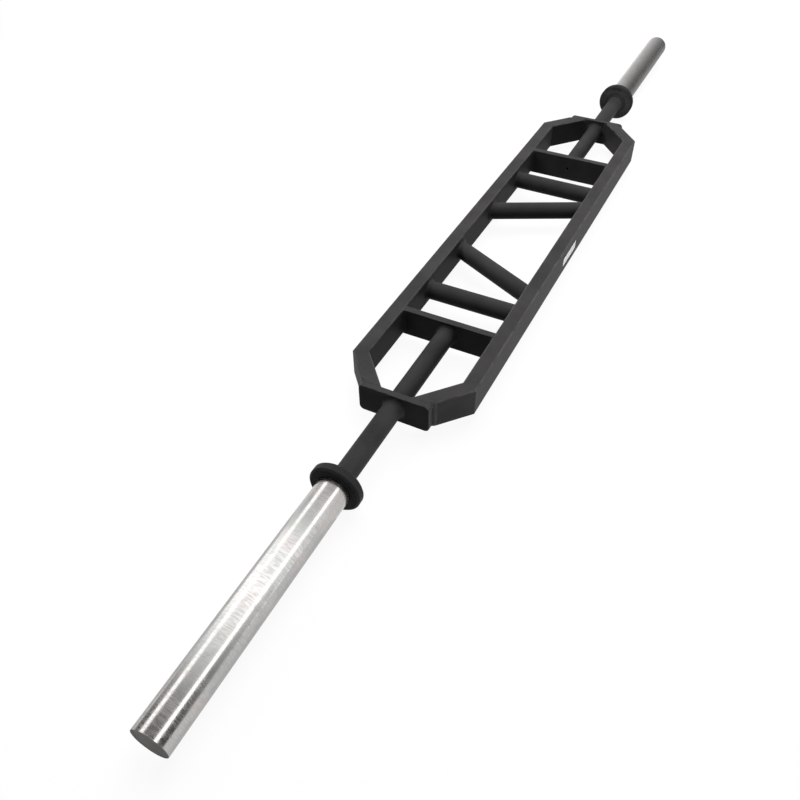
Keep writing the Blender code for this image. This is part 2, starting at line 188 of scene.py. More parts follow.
class Graph:
    """The node tree of one new material or world, with short ways to add nodes."""

    # Numbers of the Mix node's colour sockets
    MIX_FIRST, MIX_SECOND, MIX_RESULT = 6, 7, 2

    def __init__(self, owner: bpy.types.ID) -> None:
        """Empties the owner's node tree.

        Args:
            owner: a material or a world.
        """
        owner.use_nodes = True
        self.tree = owner.node_tree
        self.tree.nodes.clear()

    def node(self, kind: str, settings: dict | None = None, inputs: dict | None = None) -> bpy.types.Node:
        """Adds a node of any type.

        Args:
            kind: the node's type.
            settings: properties that are set first; "stops" fills a colour ramp.
            inputs: values or links by socket name or number.

        Returns:
            The new node.
        """
        made = self.tree.nodes.new(kind)
        for key, value in (settings or {}).items():
            if key == "stops":
                self._fill_ramp(made.color_ramp, value)
            else:
                setattr(made, key, value)
        for key, value in (inputs or {}).items():
            if isinstance(value, Number):
                value = value.socket
            if isinstance(value, Socket):
                self.tree.links.new(value, made.inputs[key])
            else:
                made.inputs[key].default_value = value
        return made

    @staticmethod
    def _fill_ramp(ramp: bpy.types.ColorRamp, stops: list) -> None:
        """Sets the stops of a ramp.

        Args:
            ramp: of a new node.
            stops: the place and the grey of each stop.
        """
        while len(ramp.elements) < len(stops):
            ramp.elements.new(0.5)
        for element, (place, grey) in zip(ramp.elements, stops):
            element.position, element.color = place, (grey, grey, grey, 1.0)

    def place(self, scale: tuple = EVEN) -> Socket:
        """Object coordinates, stretched by a scale along each axis."""
        inputs = {"Vector": self.node("ShaderNodeTexCoord").outputs["Object"], "Scale": scale}
        return self.node("ShaderNodeMapping", None, inputs).outputs["Vector"]

    def distance(self, scale: tuple = EVEN) -> Number:
        """Distance from the origin, or from an axis whose scale is nought."""
        made = self.node("ShaderNodeVectorMath", {"operation": "LENGTH"}, {0: self.place(scale)})
        return Number(self, made.outputs["Value"])

    def noise(self, pattern: Speckle) -> Number:
        """A noise pattern on Object coordinates, about 0.2 to 0.8."""
        inputs = {"Vector": self.place(pattern.stretch), "Scale": pattern.scale, "Detail": pattern.detail}
        return Number(self, self.node("ShaderNodeTexNoise", None, inputs).outputs[0])

    def level(self, value: Number, low: float, high: float) -> Number:
        """A number read through a soft step.

        Args:
            value: the number.
            low: where the step starts, at 0.
            high: where it ends, at 1.

        Returns:
            The stepped number.
        """
        settings = {"interpolation_type": "SMOOTHSTEP"}
        inputs = {"Value": value, "From Min": low, "From Max": high}
        return Number(self, self.node("ShaderNodeMapRange", settings, inputs).outputs["Result"])

    def mixed(self, factor: Number, first: object, second: object) -> Socket:
        """A colour part of the way from a first to a second.

        Args:
            factor: how far, from 0 to 1.
            first: a colour or a socket.
            second: a colour or a socket.

        Returns:
            The mixed colour.
        """
        inputs = {"Factor": factor, self.MIX_FIRST: first, self.MIX_SECOND: second}
        return self.node("ShaderNodeMix", {"data_type": "RGBA"}, inputs).outputs[self.MIX_RESULT]

    def bump(self, height: Number, distance: float, beneath: Socket | None = None) -> Socket:
        """A normal bent by a height.

        Args:
            height: from 0 to 1.
            distance: what the full height stands for, in metres.
            beneath: a normal that is already bent.

        Returns:
            The bent normal.
        """
        inputs = {"Height": height, "Distance": distance, "Strength": 1.0}
        if beneath is not None:
            inputs["Normal"] = beneath
        return self.node("ShaderNodeBump", None, inputs).outputs["Normal"]

    def surface(self, **inputs: object) -> None:
        """Adds the shader and the material's output.

        Args:
            inputs: values or links of the shader's sockets, with _ for a space.
        """
        named = {key.replace("_", " "): value for key, value in inputs.items()}
        shader = self.node("ShaderNodeBsdfPrincipled", None, named)
        self.node("ShaderNodeOutputMaterial", None, {"Surface": shader.outputs[0]})


@dataclass(frozen=True)
class Finish:
    """One finish of the bar: a name and a way to paint it.

    A field that ends in step holds the levels of noise at which a mark begins and is full, and
    one that ends in share, gloss, scuff or roughness how much a mark changes the surface. The
    fields roughness and face_roughness are what the marks change.
    """

    name: str

    def paint(self, graph: Graph) -> None:
        """Builds the finish's nodes in an empty graph."""
        raise NotImplementedError

    def material(self) -> bpy.types.Material:
        """Makes the finish's material.

        Returns:
            The new material.
        """
        made = bpy.data.materials.new(self.name)
        self.paint(Graph(made))
        return made


@dataclass(frozen=True)
class SatinPaint(Finish):
    """Baked black paint with a fine pebbled skin, as on the welded frame."""

    dark: tuple = (0.031, 0.0298, 0.0300, 1.0)
    light: tuple = (0.043, 0.0414, 0.0412, 1.0)
    # The grey below is the lighter paint of the edges: some wear, and mostly a painted highlight of the
    # rounded edges.
    sheen_and_wear_grey: tuple = (0.086, 0.083, 0.081, 1.0)
    roughness: float = 0.54
    grain: Speckle = Speckle(750.0)
    pebble_height: float = 0.00006
    drift: Speckle = Speckle(22.0, 3.0)
    specks: Speckle = Speckle(1900.0, 1.0)
    sheen_and_wear_noise: Speckle = Speckle(48.0, 3.0)
    lumps: Speckle = Speckle(160.0, 1.0)
    shade_step: tuple = (0.36, 0.64)
    speck_step: tuple = (0.66, 0.78)
    sheen_and_wear_step: tuple = (0.25, 0.60)
    grain_share: float = 0.35
    sheen_and_wear_share: float = 0.6
    lump_share: float = 0.8
    drift_roughness: float = 0.16
    speck_roughness: float = 0.10
    sheen_and_wear_gloss: float = 0.10
    specular: float = 0.04

    def paint(self, graph: Graph) -> None:
        """Colour drifts between two blacks; fine lumps and rare specks give the skin.

        Args:
            graph: the material's graph.
        """
        drift, grain = graph.noise(self.drift), graph.noise(self.grain)
        speck = graph.level(graph.noise(self.specks), *self.speck_step)
        shade = graph.level(drift * (1 - self.grain_share) + grain * self.grain_share, *self.shade_step)
        # The edge level from the mesh lightens the paint and makes it glossier there: some wear, and a
        # painted highlight of the rounded edges, broken up by noise.
        rub = Number(graph, graph.node("ShaderNodeAttribute", {"attribute_name": "rub"}).outputs["Fac"])
        edge_sheen_and_wear = rub * graph.level(graph.noise(self.sheen_and_wear_noise), *self.sheen_and_wear_step)
        black = graph.mixed(shade, self.dark, self.light)
        rough = drift * self.drift_roughness + speck * self.speck_roughness - edge_sheen_and_wear * self.sheen_and_wear_gloss
        graph.surface(
            Base_Color=graph.mixed(edge_sheen_and_wear * self.sheen_and_wear_share, black, self.sheen_and_wear_grey),
            Roughness=rough + (self.roughness - self.drift_roughness / 2),
            Specular_IOR_Level=self.specular,
            Normal=graph.bump(grain + graph.noise(self.lumps) * self.lump_share, self.pebble_height),
        )


@dataclass(frozen=True)
class GroundSteel(Finish):
    """Bare steel ground on a lathe: fine rings, short cross strokes and faint warm and cool patches."""

    cool: tuple = (0.455, 0.46, 0.447, 1.0)
    warm: tuple = (0.515, 0.490, 0.480, 1.0)
    scuffed: tuple = (0.27, 0.262, 0.252, 1.0)
    roughness: float = 0.115
    rings: Speckle = Speckle(600.0, 2.0, (1.0, 0.14, 0.14))
    strokes: Speckle = Speckle(340.0, 3.0, (1.0, 0.18, 0.18))
    patches: Speckle = Speckle(26.0, 3.0)
    stains: Speckle = Speckle(60.0, 4.0, (1.0, 1.6, 1.6))
    ring_height: float = 0.00000035
    stroke_height: float = 0.0000014
    ring_step: tuple = (0.38, 0.64)
    tint_step: tuple = (0.36, 0.64)
    stain_step: tuple = (0.50, 0.76)
    ring_scuff: float = 0.20
    stain_scuff: float = 0.26
    ring_roughness: float = 0.10
    stain_roughness: float = 0.06
    patch_roughness: float = 0.10

    def skin(self, graph: Graph) -> tuple[Socket, Number, Socket]:
        """The ground skin's nodes.

        Noise squeezed along the axis gives rings and shorter strokes, and wide noise the patches.
        Some rings are rougher, which frays the edges of what they mirror.

        Args:
            graph: the material's graph.

        Returns:
            Its colour, roughness and normal.
        """
        rings, patches = graph.noise(self.rings), graph.noise(self.patches)
        stain = graph.level(graph.noise(self.stains), *self.stain_step)
        tint = graph.mixed(graph.level(patches, *self.tint_step), self.cool, self.warm)
        rough_ring = graph.level(rings, *self.ring_step)
        colour = graph.mixed(rough_ring * self.ring_scuff + stain * self.stain_scuff, tint, self.scuffed)
        rough = (rough_ring * self.ring_roughness + stain * self.stain_roughness
                 + patches * self.patch_roughness + self.roughness)
        fine = graph.bump(rings, self.ring_height)
        return colour, rough, graph.bump(graph.noise(self.strokes), self.stroke_height, fine)

    def paint(self, graph: Graph) -> None:
        """Puts the skin on the whole piece."""
        colour, roughness, normal = self.skin(graph)
        graph.surface(Base_Color=colour, Metallic=1.0, Roughness=roughness, Normal=normal)


@dataclass(frozen=True)
class FacedSteel(GroundSteel):
    """A flat steel end under a dull grey film, with the ground skin round its rim."""

    pale: tuple = (0.080, 0.079, 0.066, 1.0)
    dull: tuple = (0.066, 0.052, 0.050, 1.0)
    rim: float = 0.0248
    rim_blend: float = 0.0001
    circles: float = 900.0
    circle_detail: float = 3.0
    circle_height: float = 0.000008
    film: Speckle = Speckle(45.0, 3.0)
    film_step: tuple = (0.38, 0.62)
    face_metal: float = 0.3
    face_roughness: float = 0.40
    mark_roughness: float = 0.10
    specular: float = 0.10

    def paint(self, graph: Graph) -> None:
        """Turning circles come from the distance to the axis, and the film from wide noise.

        Args:
            graph: the material's graph.
        """
        reach = graph.distance((0.0, 1.0, 1.0))
        circles = graph.node("ShaderNodeTexNoise", {"noise_dimensions": "1D"},
                             {"W": reach, "Scale": self.circles, "Detail": self.circle_detail})
        groove, film = Number(graph, circles.outputs[0]), graph.noise(self.film)
        face = graph.mixed(graph.level(film, *self.film_step), self.pale, self.dull)
        rim = graph.level(reach, self.rim - self.rim_blend, self.rim + self.rim_blend)
        rough = groove * self.mark_roughness + film * self.mark_roughness + self.face_roughness
        colour, roughness, normal = self.skin(graph)
        graph.surface(
            Base_Color=graph.mixed(rim, face, colour),
            Metallic=rim * (1 - self.face_metal) + self.face_metal,
            Specular_IOR_Level=self.specular,
            Roughness=rough * (1 - rim) + roughness * rim,
            Normal=graph.bump(groove, self.circle_height, normal),
        )


@dataclass(frozen=True)
class SmallPartMetal(Finish):
    """Metal of a small inner part: brushed, a little patchy, in the metal's own colour."""

    bright: tuple
    dull: tuple
    roughness: float = 0.30
    patches: Speckle = Speckle(140.0, 3.0)
    marks: Speckle = Speckle(2200.0, 2.0, (1.0, 0.1, 0.1))
    patch_step: tuple = (0.35, 0.65)
    mark_roughness: float = 0.15
    patch_roughness: float = 0.10
    mark_height: float = 0.000005

    def paint(self, graph: Graph) -> None:
        """Two tones by wide noise, with fine marks across the axis.

        Args:
            graph: the material's graph.
        """
        patches, marks = graph.noise(self.patches), graph.noise(self.marks)
        rough = marks * self.mark_roughness + patches * self.patch_roughness
        graph.surface(
            Base_Color=graph.mixed(graph.level(patches, *self.patch_step), self.bright, self.dull),
            Metallic=1.0,
            Roughness=rough + (self.roughness - self.patch_roughness),
            Normal=graph.bump(marks, self.mark_height),
        )


@dataclass(frozen=True)
class LabelFilm(Finish):
    """Blank sticker film, faintly cloudy, with the soft shine of varnish."""

    dull: tuple = (0.46, 0.47, 0.47, 1.0)
    bright: tuple = (0.56, 0.56, 0.55, 1.0)
    roughness: float = 0.30
    clouds: Speckle = Speckle(180.0, 3.0)
    waves: Speckle = Speckle(320.0, 1.0, (0.5, 1.0, 1.0))
    cloud_roughness: float = 0.12
    wave_height: float = 0.00004

    def paint(self, graph: Graph) -> None:
        """A wide cloud over near white, and small waves where air lies beneath.

        Args:
            graph: the material's graph.
        """
        cloud = graph.noise(self.clouds)
        graph.surface(
            Base_Color=graph.mixed(cloud, self.dull, self.bright),
            Roughness=cloud * self.cloud_roughness + self.roughness,
            Normal=graph.bump(graph.noise(self.waves), self.wave_height),
        )


FINISHES = {
    Slot.FRAME: SatinPaint("frame_black"),
    Slot.HANDLE: SatinPaint("handle_black", (0.026, 0.0251, 0.0252, 1.0), (0.036, 0.0348, 0.0346, 1.0),
                            roughness=0.56, grain=Speckle(620.0), pebble_height=0.00008),
    Slot.SHAFT: SatinPaint("shaft_black", (0.0235, 0.0227, 0.0228, 1.0), (0.0325, 0.0314, 0.0312, 1.0),
                           roughness=0.52),
    # The collar wears the frame's paint; its darker blacks are painted shade, which keeps the collar's face
    # darker than the end plate's.
    Slot.COLLAR: SatinPaint("collar_black", (0.018, 0.0173, 0.0173, 1.0), (0.026, 0.0250, 0.0249, 1.0),
                            roughness=0.50),
    Slot.SLEEVE: GroundSteel("ground_sleeve_steel"),
    Slot.CAP: FacedSteel("faced_cap_steel"),
    Slot.BUSH: SmallPartMetal("bearing_bronze", (0.58, 0.37, 0.17, 1.0), (0.42, 0.24, 0.10, 1.0), 0.34),
    Slot.WASHER: SmallPartMetal("plated_washer", (0.60, 0.60, 0.61, 1.0), (0.44, 0.44, 0.46, 1.0)),
    Slot.SPRING: SmallPartMetal("oiled_spring_steel", (0.12, 0.11, 0.10, 1.0), (0.07, 0.065, 0.06, 1.0)),
    Slot.LABEL: LabelFilm("blank_label_film"),
}


# Surfaces


def span(node: str, axis: int = 0) -> tuple[float, float]:
    """Nearest and farthest distance of a node's ends from the middle of the bar along an axis."""
    ends = [abs(corner[axis]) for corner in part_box(node)]
    return min(ends), max(ends)


def middle_x(node: str) -> float:
    """The middle of a node's box along the bar."""
    low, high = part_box(node)
    return (low.x + high.x) / 2


def outline_of_tube(width: float, height: float, radius: float, steps: int = 6) -> Array:
    """Outline of a rectangle with round corners, anticlockwise.

    Each corner is a quarter circle: its centre plus the radius times the cosine and sine of
    the angle. A support point stands on the flat beside each end of every quarter circle.

    Args:
        width: full size across.
        height: full size upwards.
        radius: of the corners.
        steps: of each quarter circle.

    Returns:
        Points, one row each, across and upwards from the middle.
    """
    support = min(SUPPORT_WIDTH, radius * SUPPORT_SHARE)
    quarter = np.linspace(0.0, math.pi / 2, steps + 1)
    arc = radius * np.column_stack([np.cos(quarter), np.sin(quarter)])
    lead = np.vstack([arc[:1] - [[0.0, support]], arc, arc[-1:] - [[support, 0.0]]])
    turns = [np.array([[math.cos(a), -math.sin(a)], [math.sin(a), math.cos(a)]])
             for a in np.arange(4) * math.pi / 2]
    corners = [np.array([x * (width / 2 - radius), z * (height / 2 - radius)])
               for x, z in ((1, 1), (-1, 1), (-1, -1), (1, -1))]
    return np.vstack([corner + lead @ turn.T for corner, turn in zip(corners, turns)])


def softened(corners: Array, steps: int = 5) -> Array:
    """A closed polygon with each corner rounded.

    At a corner with a radius, the two sides are cut back to the circle that touches both, and
    the circle's arc joins them.

    Args:
        corners: place along, place out and radius of each corner, one row each.
        steps: of each arc.

    Returns:
        Points, one row each.
    """
    points = corners[:, :2]
    made = []
    for index, radius in enumerate(corners[:, 2]):
        here, before, after = points[index], points[index - 1], points[(index + 1) % len(points)]
        if radius <= 0.0:
            made.append(here[None])
            continue
        back = (before - here) / np.linalg.norm(before - here)
        on = (after - here) / np.linalg.norm(after - here)
        half = math.acos(float(np.clip(back @ on, -1.0, 1.0))) / 2
        middle = (back + on) / np.linalg.norm(back + on)
        centre = here + middle * radius / math.sin(half)
        start = here + back * radius / math.tan(half) - centre
        turn = (math.pi - 2 * half) * np.sign(back[0] * on[1] - back[1] * on[0])
        angles = -np.linspace(0.0, turn, steps + 1)[:, None]
        side = np.array([-start[1], start[0]])
        made.append(centre + start * np.cos(angles) + side * np.sin(angles))
    return np.vstack(made)


def edge_sheen_and_wear_of(grid: Array, closed_rows: bool) -> Array:
    """How far each point is an edge, for the lighter paint on edges, which is some wear and a painted
    highlight.

    The turn at a point is the larger angle between the chords over two grid steps before and
    after it, by rows or by columns. A turn up to 18 degrees counts as flat and one past 28
    degrees as an edge, which leaves the middle of a rounded corner.

    Args:
        grid: points by row, column and axis.
        closed_rows: whether the last row joins the first.

    Returns:
        A number from 0 to 1 for each point of the grid.
    """
    sharpest = np.zeros(grid.shape[:2])
    for axis in (0, 1):
        before = grid - np.roll(grid, 2, axis)
        after = np.roll(grid, -2, axis) - grid
        lengths = np.linalg.norm(before, axis=2) * np.linalg.norm(after, axis=2)
        cosine = np.einsum("ijk,ijk->ij", before, after) / np.maximum(lengths, TINY)
        turn = np.degrees(np.arccos(np.clip(cosine, -1.0, 1.0)))
        if axis == 0 and not closed_rows:
            turn[[0, 1, -2, -1]] = 0.0
        sharpest = np.maximum(sharpest, turn)
    return np.clip((sharpest - FLAT_TURN) / (EDGE_TURN - FLAT_TURN), 0.0, 1.0)


def put_surface(name: str, grid: Array, closed_rows: bool = False, sharp: float = 35.0,
                rub: Array | None = None) -> Piece:
    """Puts a grid of points into the scene as one closed piece.

    The grid's columns always close on themselves. Its rows either close too, as on a ring, or
    end in a fan of triangles round a middle point. If the volume comes out negative, the faces
    are turned round, so that they point outwards.

    Args:
        name: of the piece.
        grid: points by row, column and axis.
        closed_rows: whether the last row joins the first.
        sharp: edges that turn by more degrees than this stay sharp.
        rub: how far each point is an edge, which lightens its paint as wear and painted highlight, where
            edge_sheen_and_wear_of shouldn't work it out.

    Returns:
        The new object.
    """
    rows, columns = grid.shape[:2]
    points = grid.reshape(-1, 3)
    index = np.arange(rows * columns).reshape(rows, columns)
    upper = np.roll(index, -1, axis=0) if closed_rows else index[1:]
    lower = index if closed_rows else index[:-1]
    quads = np.stack([lower, np.roll(lower, -1, 1), np.roll(upper, -1, 1), upper], -1).reshape(-1, 4)
    faces = quads.tolist()
    if not closed_rows:
        for ring, middle, way in ((index[0], len(points), -1), (index[-1], len(points) + 1, 1)):
            pairs = np.stack([ring, np.roll(ring, -1)], 1)[:, ::way]
            faces += np.column_stack([pairs, np.full(columns, middle)]).tolist()
        points = np.vstack([points, grid[0].mean(0), grid[-1].mean(0)])
    first, *others = (points - points.mean(0))[quads.T]
    volume = sum(np.einsum("ij,ij", first, np.cross(one, two)) for one, two in zip(others, others[1:]))
    if volume < 0:
        faces = [face[::-1] for face in faces]
    mesh = bpy.data.meshes.new(name)
    mesh.from_pydata(points.tolist(), [], faces)
    # The edge level goes to the mesh as the attribute that lightens the paint: some wear and a painted
    # highlight of the edges.
    edge_sheen_and_wear = np.zeros(len(points), np.float32)
    edge_sheen_and_wear[: rows * columns] = (edge_sheen_and_wear_of(grid, closed_rows) if rub is None else rub).ravel()
    mesh.attributes.new("rub", "FLOAT", "POINT").data.foreach_set("value", edge_sheen_and_wear)
    mesh.shade_smooth()
    mesh.set_sharp_from_angle(angle=math.radians(sharp))
    piece = bpy.data.objects.new(name, mesh)
    bpy.context.scene.collection.objects.link(piece)
    return piece


@dataclass
class Assembly:
    """Pieces that belong together, and the finishes that dress them."""

    materials: dict = field(repr=False)

    def dress(self, piece: Piece, slot: Slot, *nodes: str, body: str = "frame") -> None:
        """Gives a piece its finish, body, slot and the nodes it stands for.

        Args:
            piece: the finished piece.
            slot: its material slot.
            nodes: names of CAD nodes that it replaces.
            body: the body that it rides on.
        """
        piece.data.materials.append(self.materials[slot])
        smooth = piece.modifiers.new("even_shading", "WEIGHTED_NORMAL")
        smooth.keep_sharp = True
        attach(piece, body)
        if nodes:
            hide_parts(*nodes)
        log.info("made %s, %d faces", piece.name, len(piece.data.polygons))


@dataclass
class TubeFrame(Assembly):
    """The two long rails and the four slanting corner tubes, mitred and ground flush."""

    corner_radius: float = TUBE_CORNER_RADIUS
    ground_radius: float = 0.0072
    ground_share: float = 0.12
    rail_rows: int = 60
    corner_rows: int = 24

    def tube(self, name: str, start: Array, end: Array, height: float, rows: int,
             ground: bool = False) -> Piece:
        """A rectangular tube between two cutting planes.

        A point of the round-cornered outline has a depth from the outer face and a height. Its
        line runs from that depth on the start's cut to the same depth on the end's cut. Where
        the end is ground, the outer corners grow over the last share of the length to the
        larger radius, by a soft step, so that they stay behind the plate's round corners.

        Args:
            name: of the piece.
            start: outer and inner corner of the first cut, x and y.
            end: outer and inner corner of the second cut, x and y.
            height: of the tube.
            rows: along the tube.
            ground: whether the outer corners are ground round at the end.

        Returns:
            The new object.
        """
        plain = outline_of_tube(TUBE_WIDTH, height, self.corner_radius)
        share = np.linspace(0.0, 1.0, rows)[:, None, None]
        outline = np.broadcast_to(plain, (rows, *plain.shape))
        if ground:
            share = np.sin(share * math.pi / 2)
            step = np.clip((share - 1 + self.ground_share) / self.ground_share, 0.0, 1.0)
            outer = (plain[:, :1] < 0.0) * step ** 2 * (3 - 2 * step)
            outline = plain + (outline_of_tube(TUBE_WIDTH, height, self.ground_radius) - plain) * outer
        depth = outline[..., :1] / TUBE_WIDTH + 0.5
        first = start[0] + (start[1] - start[0]) * depth
        last = end[0] + (end[1] - end[0]) * depth
        flat = first * (1 - share) + last * share
        return put_surface(name, np.concatenate([flat, outline[..., 1:]], -1))

    def build(self) -> None:
        """Builds both rails and the four corner tubes from the frame's boxes."""
        back_cut = TUBE_WIDTH * math.tan(CORNER_TUBE_ANGLE / 2)
        flip = np.array([-1.0, 1.0])
        for edge in Edge:
            low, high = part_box(edge.node("rail"))
            outer = span(edge.node("rail"), 1)[1]
            height = high.z - low.z
            cut = np.array([[high.x, outer * edge.value],
                            [high.x - back_cut, (outer - TUBE_WIDTH) * edge.value]])
            rail = self.tube(edge.node("rail_tube"), cut * flip, cut, height, self.rail_rows)
            self.dress(rail, Slot.FRAME, edge.node("rail"))
            for side in Side:
                node = edge.node(side.node("corner_tube"))
                inner_end, plate = span(node, 1)[0], span(node)[1]
                outer_end = inner_end + TUBE_WIDTH / math.cos(CORNER_TUBE_ANGLE)
                finish = np.array([[plate, outer_end * edge.value], [plate, inner_end * edge.value]])
                way = np.array([float(side.value), 1.0])
                made = self.tube(node + "_mitred", cut * way, finish * way, height, self.corner_rows,
                                 ground=True)
                self.dress(made, Slot.FRAME, node)


@dataclass
class Plates(Assembly):
    """The two end plates and the two cross plates.

    A support is a row set close beside an edge, which keeps the shading of the flat even. A row's
    sheen-and-wear level is how far its paint is lighter, from 0 to 1, as some wear and as a painted
    highlight, and a bore rim is a distance out from the bore with that level there.
    """

    edge_radius: float = 0.0012
    joint_radius: float = 0.00002
    end_corner: float = 0.008
    cross_corner: float = 0.0012
    least_corner: float = 0.0002
    cross_bite: float = 0.0015
    shaft_bite: float = 0.0005
    hole_radius: float = 0.003
    corner_steps: int = 8
    side_points: int = 13
    edge_points: int = 5
    face_support: float = 0.0004
    rim_supports: tuple = (0.0002, 0.0006)
    # Lighter paint on each rim edge row and at the bore's rim: some wear and a painted highlight of the
    # edges.
    edge_row_sheen_and_wear: tuple = (0.3, 1.0, 1.0, 1.0, 0.3)
    bore_rims: tuple = ((0.0004, 1.0), (0.0012, 0.0))

    def outline(self, width: float, height: float, corner: float, inset: float = 0.0) -> Array:
        """The outline of a plate drawn in by an inset, with its corners drawn in alike.

        The straight sides get points too, so that rays to a round bore are spread about evenly:
        at even angles between two corners, a ray from the middle meets the side where the cross
        product of the ray and the point is nought.

        Args:
            width: full size across.
            height: full size upwards.
            corner: radius of the corners before they are drawn in.
            inset: how far each side is drawn in.

        Returns:
            Points, one row each, anticlockwise.
        """
        radius = max(corner - inset, self.least_corner)
        plain = outline_of_tube(width - 2 * inset, height - 2 * inset, radius, self.corner_steps)
        corners = plain.reshape(4, -1, 2)
        start = corners[:, -1:]
        end = np.roll(corners, -1, axis=0)[:, :1]
        side = end - start
        first = np.arctan2(start[..., 1], start[..., 0])
        turn = (np.arctan2(end[..., 1], end[..., 0]) - first) % FULL_TURN
        angle = first + turn * np.linspace(0.0, 1.0, self.side_points + 2)[1:-1]
        ray = np.stack([np.cos(angle), np.sin(angle)], -1)
        share = ((start[..., 1] * ray[..., 0] - start[..., 0] * ray[..., 1])
                 / (side[..., 0] * ray[..., 1] - side[..., 1] * ray[..., 0]))
        return np.concatenate([corners, start + side * share[..., None]], axis=1).reshape(-1, 2)

    def plate(self, name: str, low: Vector, high: Vector, corner: float, bore: float,
              soft_low: float, soft_high: float) -> Piece:
        """A flat plate across the bar with a round bore at its middle.

        Rows run from the bore over one face to the rim, over the rim, and back over the other
        face. A rim row is the plate's outline drawn in by an inset, a bore row the same points
        brought to the bore's circle, and each rim edge follows a quarter circle.

        Args:
            name: of the piece.
            low: lowest corner.
            high: highest corner.
            corner: radius of the outline's corners.
            bore: radius of the bore.
            soft_low: radius of the rim's edge on the side of the lower x.
            soft_high: radius of the rim's edge on the other side.

        Returns:
            The new object.
        """
        size = (high.y - low.y, high.z - low.z, corner)
        ring = self.outline(*size)
        circle = ring / np.linalg.norm(ring, axis=1, keepdims=True)
        quarter = np.linspace(0.0, math.pi / 2, self.edge_points)
        rows = [(low.x + self.bore_rims[0][0], circle * bore, 1.0)]
        rows += [(low.x, circle * (bore + rim), rub) for rim, rub in self.bore_rims]
        for face, soft, way in ((low.x, soft_low, 1.0), (high.x, soft_high, -1.0)):
            insets = soft * (1 - np.sin(quarter))
            places = face + way * soft * (1 - np.cos(quarter))
            edge = [(face, self.outline(*size, soft + self.face_support), 0.0)]
            edge += [(place, self.outline(*size, inset), rub)
                     for inset, place, rub in zip(insets, places, self.edge_row_sheen_and_wear)]
            edge += [(face + way * (soft + extra), ring, 0.0) for extra in self.rim_supports]
            rows += edge if way > 0 else edge[::-1]
        rows += [(high.x, circle * (bore + rim), rub) for rim, rub in self.bore_rims[::-1]]
        rows += [(high.x - self.bore_rims[0][0], circle * bore, 1.0)]
        grid = np.stack([np.column_stack([np.full(len(flat), x), flat]) for x, flat, _ in rows])
        # Each row's level of lighter paint, as some wear and a painted highlight.
        rub = np.repeat([[rub] for _, _, rub in rows], grid.shape[1], axis=1)
        return put_surface(name, grid, closed_rows=True, rub=rub)

    def build(self) -> None:
        """Builds an end plate and a cross plate for each end."""
        bite = Vector((0.0, self.cross_bite, 0.0))
        for side in Side:
            low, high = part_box(side.node("end_plate"))
            soft = [self.joint_radius, self.edge_radius][:: side.value]
            made = self.plate(side.node("rounded_end_plate"), low, high, self.end_corner,
                              SHAFT_RADIUS - self.shaft_bite, *soft)
            self.dress(made, Slot.FRAME, side.node("end_plate"))
            low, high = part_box(side.node("cross_plate"))
            made = self.plate(side.node("bored_cross_plate"), low - bite, high + bite, self.cross_corner,
                              self.hole_radius, self.edge_radius, self.edge_radius)
            self.dress(made, Slot.FRAME, side.node("cross_plate"))


@dataclass
class Handles(Assembly):
    """The two straight and the two angled handles between the rails."""

    bite: float = 0.0012
    segments: int = 96
    rows: int = 40

    def handle(self, name: str, middle: float, reach: float, tilt: float) -> Piece:
        """A round tube across the frame, cut off by the planes of the two rails.

        A point round the tube is its axis plus the radius times the cosine along the tube's
        level normal and the sine upwards. Its line runs along the axis from one rail to the other.

        Args:
            name: of the piece.
            middle: where the axis crosses the middle of the bar, along x.
            reach: half the distance between the cuts.
            tilt: turn of the axis about the vertical, in radians.

        Returns:
            The new object.
        """
        angle = np.linspace(0.0, FULL_TURN, self.segments, endpoint=False)
        across = HANDLE_RADIUS * np.cos(angle)
        base = np.column_stack([middle + across * math.cos(tilt), across * math.sin(tilt),
                                HANDLE_RADIUS * np.sin(angle)])
        axis = np.array([-math.sin(tilt), math.cos(tilt), 0.0])
        share = np.linspace(-1.0, 1.0, self.rows)[:, None]
        run = (share * reach - base[:, 1]) / axis[1]
        return put_surface(name, base + run[..., None] * axis)

    def build(self) -> None:
        """Builds all four handles, placed by the boxes of their nodes."""
        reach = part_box("back_rail")[0].y + self.bite
        for side in Side:
            for part, tilt in HANDLE_TILTS.items():
                node = side.node(part)
                made = self.handle(side.node(f"round_{part}"), middle_x(node), reach, tilt * side.value)
                self.dress(made, Slot.HANDLE, node)


